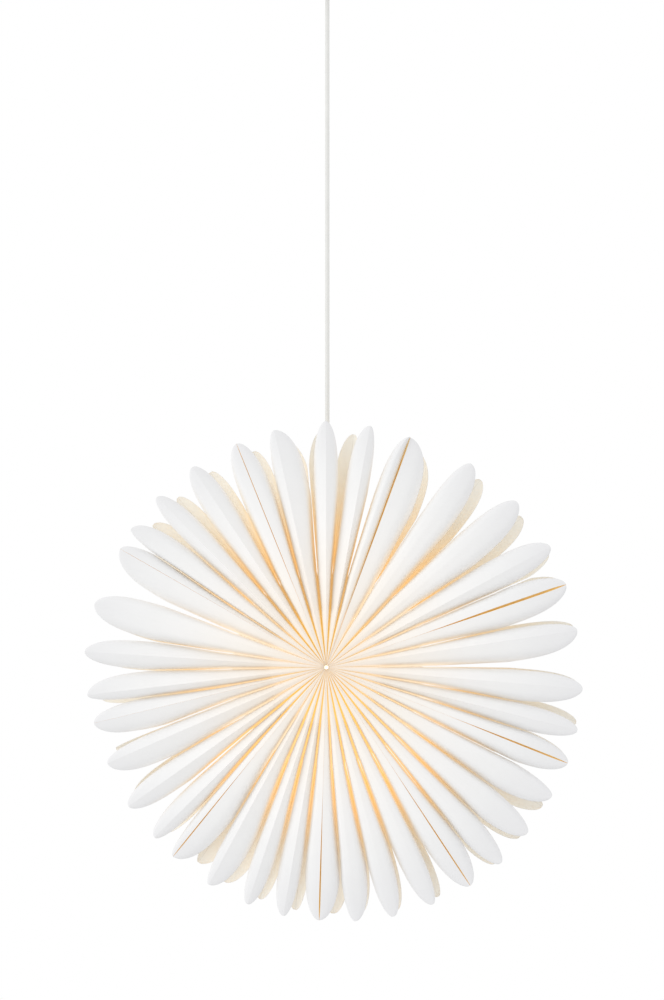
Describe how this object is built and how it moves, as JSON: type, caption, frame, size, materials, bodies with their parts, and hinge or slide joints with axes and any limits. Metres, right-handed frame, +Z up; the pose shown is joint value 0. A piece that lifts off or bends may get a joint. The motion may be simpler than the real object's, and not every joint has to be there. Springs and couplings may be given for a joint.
{
  "type": "paper star lantern",
  "caption": "Hanging lantern: a pleated paper star, open in the middle for a bulb, on a straight cord with a lampholder and a ceiling cup; the star folds up like a fan.",
  "frame": {"origin": "on the ceiling, midway between the two screw holes of the ceiling bracket, in line with the cord", "axes": "+Z up, away from the lantern; the lantern faces -Y, and +X is to its right as seen from the front"},
  "size_m": [0.6008, 0.12, 1.2104],
  "materials": {
    "paper": "matt white translucent paper, lit warm from inside",
    "zinc_steel": "zinc plated",
    "screw_steel": "bright zinc plated",
    "terminal_plastic": "moulded, satin",
    "core_insulation": "soft plastic",
    "white_plastic": "moulded, half gloss",
    "nylon": "moulded nylon, slightly see-through",
    "cord_sheath": "smooth soft plastic, pale grey-white",
    "holder_plastic": "moulded, half gloss",
    "contact_ceramic": "unglazed",
    "brass": "bright",
    "bulb_cap_metal": "bright rolled",
    "black_glass": "fused, gloss",
    "solder": "soldered",
    "opal_glass": "opal, lit",
    "clear_glass": "clear",
    "filament": "yellow phosphor, lit",
    "wire_steel": "drawn wire"
  },
  "bodies": {
    "ceiling": {"ceiling_bracket": "zinc_steel", "cord_clamp": "zinc_steel", "clamp_screws": "screw_steel", "terminal_block": "terminal_plastic", "terminal_screws": "screw_steel", "ceiling_conductors": "core_insulation", "cord": "cord_sheath"},
    "cup": {"ceiling_cup": "white_plastic", "cup_grip": "nylon", "cup_nut": "nylon", "cup_screw": "screw_steel"},
    "lantern": {"hanger_bar": "zinc_steel", "cord_grip": "nylon", "grip_screw": "screw_steel", "holder_cap": "holder_plastic", "holder_barrel": "holder_plastic", "contact_block": "contact_ceramic", "threaded_shell": "brass", "centre_contact": "brass", "side_contact": "brass", "contact_screws": "screw_steel", "holder_conductors": "core_insulation", "front_sheet_1": "paper", "back_sheet_1": "paper"},
    "bulb_contact": {"bulb_contact_tip": "solder"},
    "bulb": {"bulb_cap": "bulb_cap_metal", "bulb_insulator": "black_glass", "bulb_globe": "opal_glass", "bulb_stem": "clear_glass", "filaments": "filament", "support_wires": "wire_steel"},
    "fold_2": {"front_sheet_2": "paper", "back_sheet_2": "paper"},
    "fold_3": {"front_sheet_3": "paper", "back_sheet_3": "paper"},
    "fold_4": {"front_sheet_4": "paper", "back_sheet_4": "paper"},
    "fold_5": {"front_sheet_5": "paper", "back_sheet_5": "paper"},
    "fold_6": {"front_sheet_6": "paper", "back_sheet_6": "paper"},
    "fold_7": {"front_sheet_7": "paper", "back_sheet_7": "paper"},
    "fold_8": {"front_sheet_8": "paper", "back_sheet_8": "paper"},
    "fold_9": {"front_sheet_9": "paper", "back_sheet_9": "paper"}
  },
  "joints": [
    {"name": "cup_slide", "type": "slide", "parent": "ceiling", "child": "cup", "axis": [0, 0, -1], "range_m": [0, 0.15]},
    {"name": "lantern_turn", "type": "hinge", "parent": "ceiling", "child": "lantern", "pos_m": [0, 0, -0.905], "axis": [0, 0, 1], "range_deg": [-180, 180], "stiffness_Nm_per_rad": 0.02},
    {"name": "fold_right", "type": "hinge", "parent": "lantern", "child": "fold_5", "pos_m": [0, 0, -0.905], "axis": [0, -1, 0], "range_deg": [0, 134], "deforming": ["front_sheet_5", "back_sheet_5"]},
    {"name": "fold_4_turn", "type": "hinge", "parent": "lantern", "child": "fold_4", "pos_m": [0, 0, -0.905], "axis": [0, -1, 0], "range_deg": [0, 101.8], "deforming": ["front_sheet_4", "back_sheet_4"]},
    {"name": "fold_3_turn", "type": "hinge", "parent": "lantern", "child": "fold_3", "pos_m": [0, 0, -0.905], "axis": [0, -1, 0], "range_deg": [0, 65.7], "deforming": ["front_sheet_3", "back_sheet_3"]},
    {"name": "fold_2_turn", "type": "hinge", "parent": "lantern", "child": "fold_2", "pos_m": [0, 0, -0.905], "axis": [0, -1, 0], "range_deg": [0, 23.1], "deforming": ["front_sheet_2", "back_sheet_2"]},
    {"name": "fold_left", "type": "hinge", "parent": "lantern", "child": "fold_6", "pos_m": [0, 0, -0.905], "axis": [0, 1, 0], "range_deg": [0, 131], "deforming": ["front_sheet_6", "back_sheet_6"]},
    {"name": "fold_7_turn", "type": "hinge", "parent": "lantern", "child": "fold_7", "pos_m": [0, 0, -0.905], "axis": [0, 1, 0], "range_deg": [0, 95.4], "deforming": ["front_sheet_7", "back_sheet_7"]},
    {"name": "fold_8_turn", "type": "hinge", "parent": "lantern", "child": "fold_8", "pos_m": [0, 0, -0.905], "axis": [0, 1, 0], "range_deg": [0, 56.5], "deforming": ["front_sheet_8", "back_sheet_8"]},
    {"name": "fold_9_turn", "type": "hinge", "parent": "lantern", "child": "fold_9", "pos_m": [0, 0, -0.905], "axis": [0, 1, 0], "range_deg": [0, 18.1], "deforming": ["front_sheet_9", "back_sheet_9"]},
    {"name": "bulb_travel", "type": "slide", "parent": "lantern", "child": "bulb_contact", "axis": [0, 0, -1], "range_m": [0, 0.017]},
    {"name": "bulb_turn", "type": "hinge", "parent": "bulb_contact", "child": "bulb", "pos_m": [0, 0, -0.905], "axis": [0, 0, -1], "range_deg": [0, 2160]}
  ],
  "couplings": [
    {"joint": "fold_4_turn", "follows": "fold_right", "ratio": 0.7591},
    {"joint": "fold_3_turn", "follows": "fold_right", "ratio": 0.49},
    {"joint": "fold_2_turn", "follows": "fold_right", "ratio": 0.1721},
    {"joint": "fold_7_turn", "follows": "fold_left", "ratio": 0.728},
    {"joint": "fold_8_turn", "follows": "fold_left", "ratio": 0.431},
    {"joint": "fold_9_turn", "follows": "fold_left", "ratio": 0.1379},
    {"joint": "bulb_travel", "follows": "bulb_turn", "m_per_rad": 0.00044882}
  ]
}
